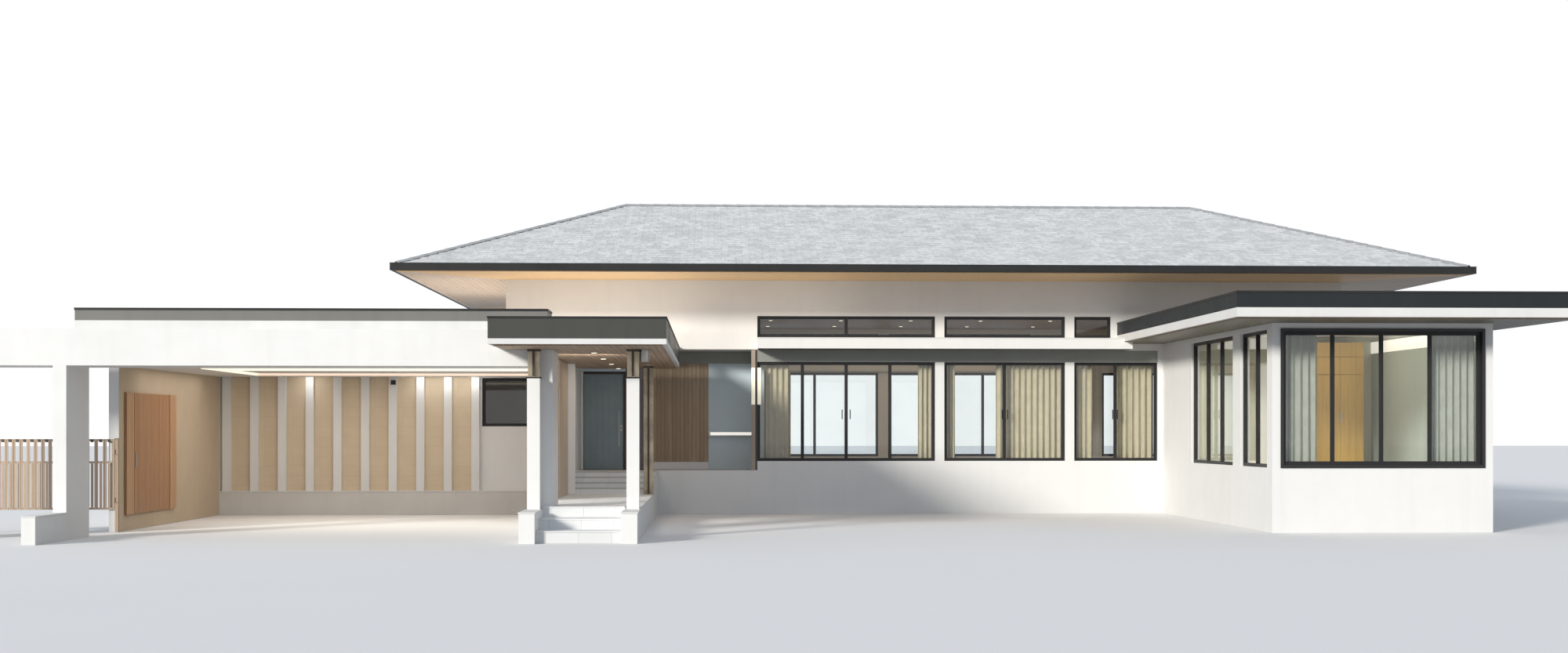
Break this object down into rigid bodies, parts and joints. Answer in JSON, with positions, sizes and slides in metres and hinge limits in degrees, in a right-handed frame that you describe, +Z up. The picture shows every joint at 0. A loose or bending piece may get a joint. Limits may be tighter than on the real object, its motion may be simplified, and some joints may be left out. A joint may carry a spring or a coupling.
{
  "type": "bungalow",
  "caption": "Hip-roofed house with a glazed garden front, a flat-roofed wing, a canopied walkway to the entrance and an open bay behind a broad white frame.",
  "frame": {"origin": "centre of the whole plan's bounding box, on the lowest ground level", "axes": "+X along the garden front towards the wing, +Y from the front to the back, +Z up"},
  "size_m": [32.82, 21.94, 8.15],
  "materials": {
    "render_white": "smooth masonry render, painted off-white",
    "render_blue": "smooth render, pale blue-grey",
    "plaster_cream": "smooth plaster, greenish cream",
    "roof_shingle": "flat slate-grey roof tiles",
    "gutter_metal": "charcoal, satin",
    "soffit_timber": "pale boards, satin varnish",
    "fascia_olive": "dark olive-grey, satin",
    "fascia_blue": "dark blue-grey, satin",
    "frame_charcoal": "charcoal powder coat",
    "box_black": "black, satin",
    "glass_clear": "clear",
    "concrete_pale": "smooth painted concrete",
    "concrete_grey": "fair-faced concrete and grey paving",
    "tan_panel": "tan textured panels",
    "floor_tile": "polished tiles",
    "timber_brown": "brown boards, satin stain",
    "timber_orange": "orange-brown boards, satin varnish",
    "door_slate": "slate blue-grey paint, satin",
    "door_frame_dark": "dark stain, satin",
    "handle_steel": "brushed",
    "bronze": "dark bronze, brushed",
    "linen": "sheer and lined curtains",
    "rail_white": "white powder coat"
  },
  "bodies": {
    "house": {"roof_shell": "roof_shingle", "gutter": "gutter_metal", "eaves_soffit": "soffit_timber", "main_ceiling": "soffit_timber", "upper_walls": "render_white", "end_walls": "render_white", "upper_infill_walls": "render_white", "lintel_walls": "render_white", "window_piers": "render_white", "strip_piers": "render_white", "sill_walls": "render_white", "ledges": "concrete_pale", "side_sill_walls": "render_white", "side_head_walls": "render_white", "side_piers": "render_white", "wing_front_wall": "render_white", "wing_box_frame": "box_black", "recess_base": "render_white", "recess_side_wall": "render_white", "recess_back_wall": "render_blue", "door_frame": "door_frame_dark", "timber_cladding": "timber_brown", "bay_uprights": "render_white", "bay_beam": "render_white", "low_walls": "render_white", "bay_left_wall": "render_white", "annex_walls": "render_white", "walkway_wall": "render_white", "flat_roof": "concrete_pale", "flat_roof_fascia": "fascia_olive", "white_ceilings": "render_white", "bay_fins": "render_white", "bay_panels": "tan_panel", "bay_base": "concrete_grey", "store_doors": "timber_orange", "wing_roof": "concrete_pale", "wing_fascia": "fascia_blue", "timber_linings": "timber_brown", "bedroom_wall": "plaster_cream", "cupboard": "timber_orange", "window_frames": "frame_charcoal", "window_glass": "glass_clear", "canopy": "concrete_pale", "canopy_fascia": "fascia_olive", "porch_columns": "render_white", "bronze_posts": "bronze", "walkway": "concrete_grey", "steps": "concrete_grey", "floors": "floor_tile", "side_fence": "timber_brown", "curtains": "linen", "curtain_rails": "rail_white"},
    "entrance_door": {"entrance_door": "door_slate", "door_handle": "handle_steel"},
    "side_gate": {"side_gate": "timber_brown"}
  },
  "joints": [
    {"name": "entrance_door_hinge", "type": "hinge", "parent": "house", "child": "entrance_door", "pos_m": [-5.047, 1.859, 0], "axis": [0, 0, 1], "range_deg": [0, 90]},
    {"name": "side_gate_hinge", "type": "hinge", "parent": "house", "child": "side_gate", "pos_m": [-13.875, -6.844, 0], "axis": [0, 0, 1], "range_deg": [0, 90]}
  ]
}
